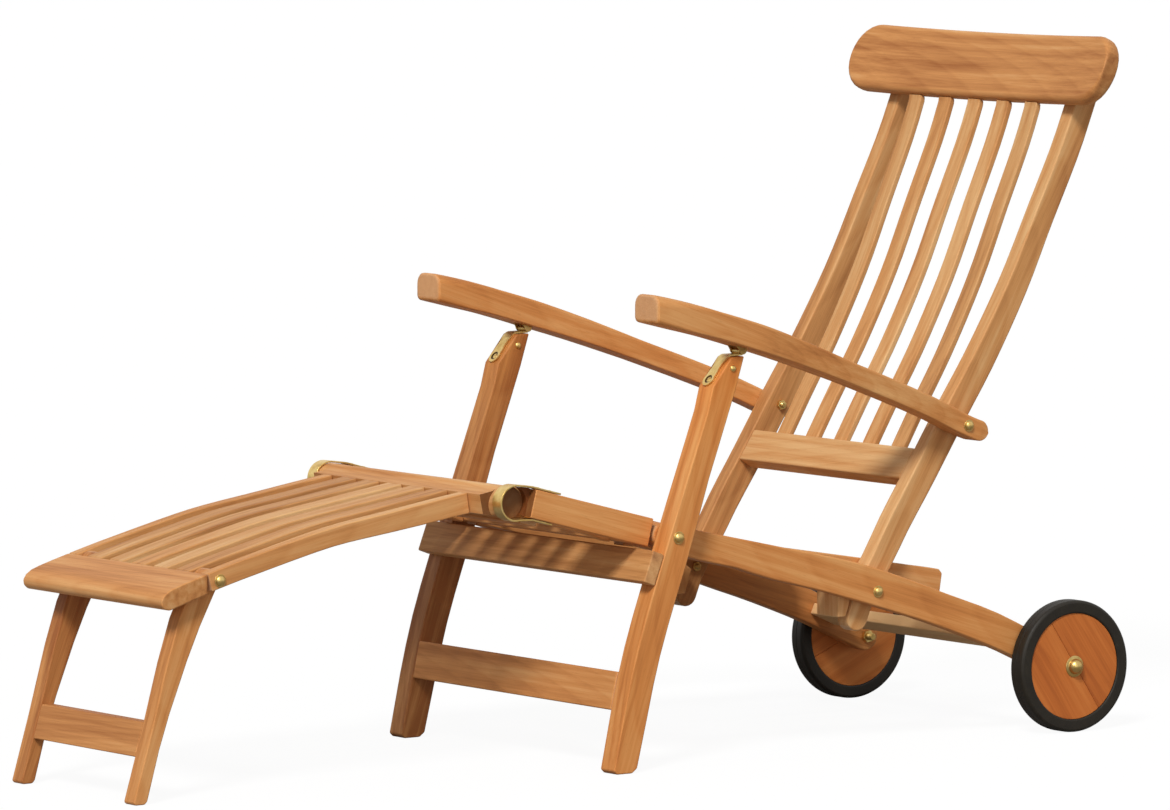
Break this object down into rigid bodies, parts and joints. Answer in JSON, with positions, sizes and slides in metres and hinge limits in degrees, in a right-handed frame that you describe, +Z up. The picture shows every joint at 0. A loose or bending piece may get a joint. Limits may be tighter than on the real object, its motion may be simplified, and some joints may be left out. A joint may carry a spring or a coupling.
{
  "type": "folding steamer deck chair",
  "caption": "Reclining slatted wooden steamer chair with curved frame, folding footrest and armrests, wide headrest board, brass hardware and a pair of rear wheels.",
  "frame": {"origin": "on the floor under the middle of the chair's overall length and width", "axes": "+X from the footrest towards the wheels, +Y towards the sitter's right hand, +Z up"},
  "size_m": [1.5124, 0.59, 0.9437],
  "materials": {
    "teak": "oiled satin, straight grain along each piece",
    "wheel_wood": "oiled satin, darker orange-brown, jointed from boards",
    "brass": "satin, lightly aged",
    "rubber_tyre": "matt solid rubber"
  },
  "bodies": {
    "wheel_frame": {"wheel_rail_left": "teak", "wheel_rail_right": "teak", "rear_stretcher": "teak", "stop_block_left": "teak", "stop_block_right": "teak", "seat_outer_rail_left": "teak", "seat_outer_rail_right": "teak", "seat_front_rail": "teak", "seat_middle_rail": "teak", "seat_rear_rail": "teak", "seat_rail_left": "teak", "seat_rail_right": "teak", "seat_slat_1": "teak", "seat_slat_2": "teak", "seat_slat_3": "teak", "seat_slat_4": "teak", "seat_slat_5": "teak", "knee_strap_left": "brass", "knee_strap_right": "brass", "pivot_rod": "brass", "stile_bolt_left": "brass", "stile_bolt_right": "brass", "wheel_axle_left": "brass", "wheel_axle_right": "brass"},
    "front_legs": {"leg_left": "teak", "leg_right": "teak", "apron": "teak", "leg_stretcher": "teak", "arm_strap_left": "brass", "arm_strap_right": "brass"},
    "backrest": {"stile_left": "teak", "stile_right": "teak", "back_lower_rail": "teak", "back_slat_1": "teak", "back_slat_2": "teak", "back_slat_3": "teak", "back_slat_4": "teak", "back_slat_5": "teak", "headrest": "teak", "arm_bolt_left": "brass", "arm_bolt_right": "brass"},
    "armrest_left_arm": {"armrest_left": "teak"},
    "armrest_right_arm": {"armrest_right": "teak"},
    "footrest": {"footrest_rail_left": "teak", "footrest_rail_right": "teak", "footrest_board": "teak", "knee_rail": "teak", "footrest_slat_1": "teak", "footrest_slat_2": "teak", "footrest_slat_3": "teak", "footrest_slat_4": "teak", "footrest_slat_5": "teak", "footrest_rod": "brass"},
    "footrest_legs": {"footrest_leg_left": "teak", "footrest_leg_right": "teak", "footrest_stretcher": "teak"},
    "wheel_left": {"tyre_left": "rubber_tyre", "wheel_disc_left": "wheel_wood"},
    "wheel_right": {"tyre_right": "rubber_tyre", "wheel_disc_right": "wheel_wood"}
  },
  "joints": [
    {"name": "backrest_fold", "type": "hinge", "parent": "wheel_frame", "child": "backrest", "pos_m": [0.361, 0, 0.21], "axis": [0, -1, 0], "range_deg": [0, 65]},
    {"name": "legs_fold", "type": "hinge", "parent": "wheel_frame", "child": "front_legs", "pos_m": [0.015, 0, 0.307], "axis": [0, -1, 0], "range_deg": [0, 67]},
    {"name": "arm_fold_left", "type": "hinge", "parent": "backrest", "child": "armrest_left_arm", "pos_m": [0.505, -0.234, 0.426], "axis": [0, -1, 0], "range_deg": [-58.5, 0]},
    {"name": "arm_fold_right", "type": "hinge", "parent": "backrest", "child": "armrest_right_arm", "pos_m": [0.505, 0.234, 0.426], "axis": [0, -1, 0], "range_deg": [-58.5, 0]},
    {"name": "footrest_swing", "type": "hinge", "parent": "wheel_frame", "child": "footrest", "pos_m": [-0.216, 0, 0.364], "axis": [0, -1, 0], "range_deg": [-75, 0]},
    {"name": "footrest_legs_fold", "type": "hinge", "parent": "footrest", "child": "footrest_legs", "pos_m": [-0.634, 0, 0.285], "axis": [0, -1, 0], "range_deg": [0, 112]},
    {"name": "wheel_spin_left", "type": "hinge", "parent": "wheel_frame", "child": "wheel_left", "pos_m": [0.666, -0.259, 0.09], "axis": [0, 1, 0], "continuous": true},
    {"name": "wheel_spin_right", "type": "hinge", "parent": "wheel_frame", "child": "wheel_right", "pos_m": [0.666, 0.259, 0.09], "axis": [0, 1, 0], "continuous": true}
  ],
  "couplings": [
    {"joint": "legs_fold", "follows": "backrest_fold", "ratio": 1.0265},
    {"joint": "arm_fold_left", "follows": "backrest_fold", "ratio": -0.8939},
    {"joint": "arm_fold_right", "follows": "backrest_fold", "ratio": -0.8939}
  ]
}
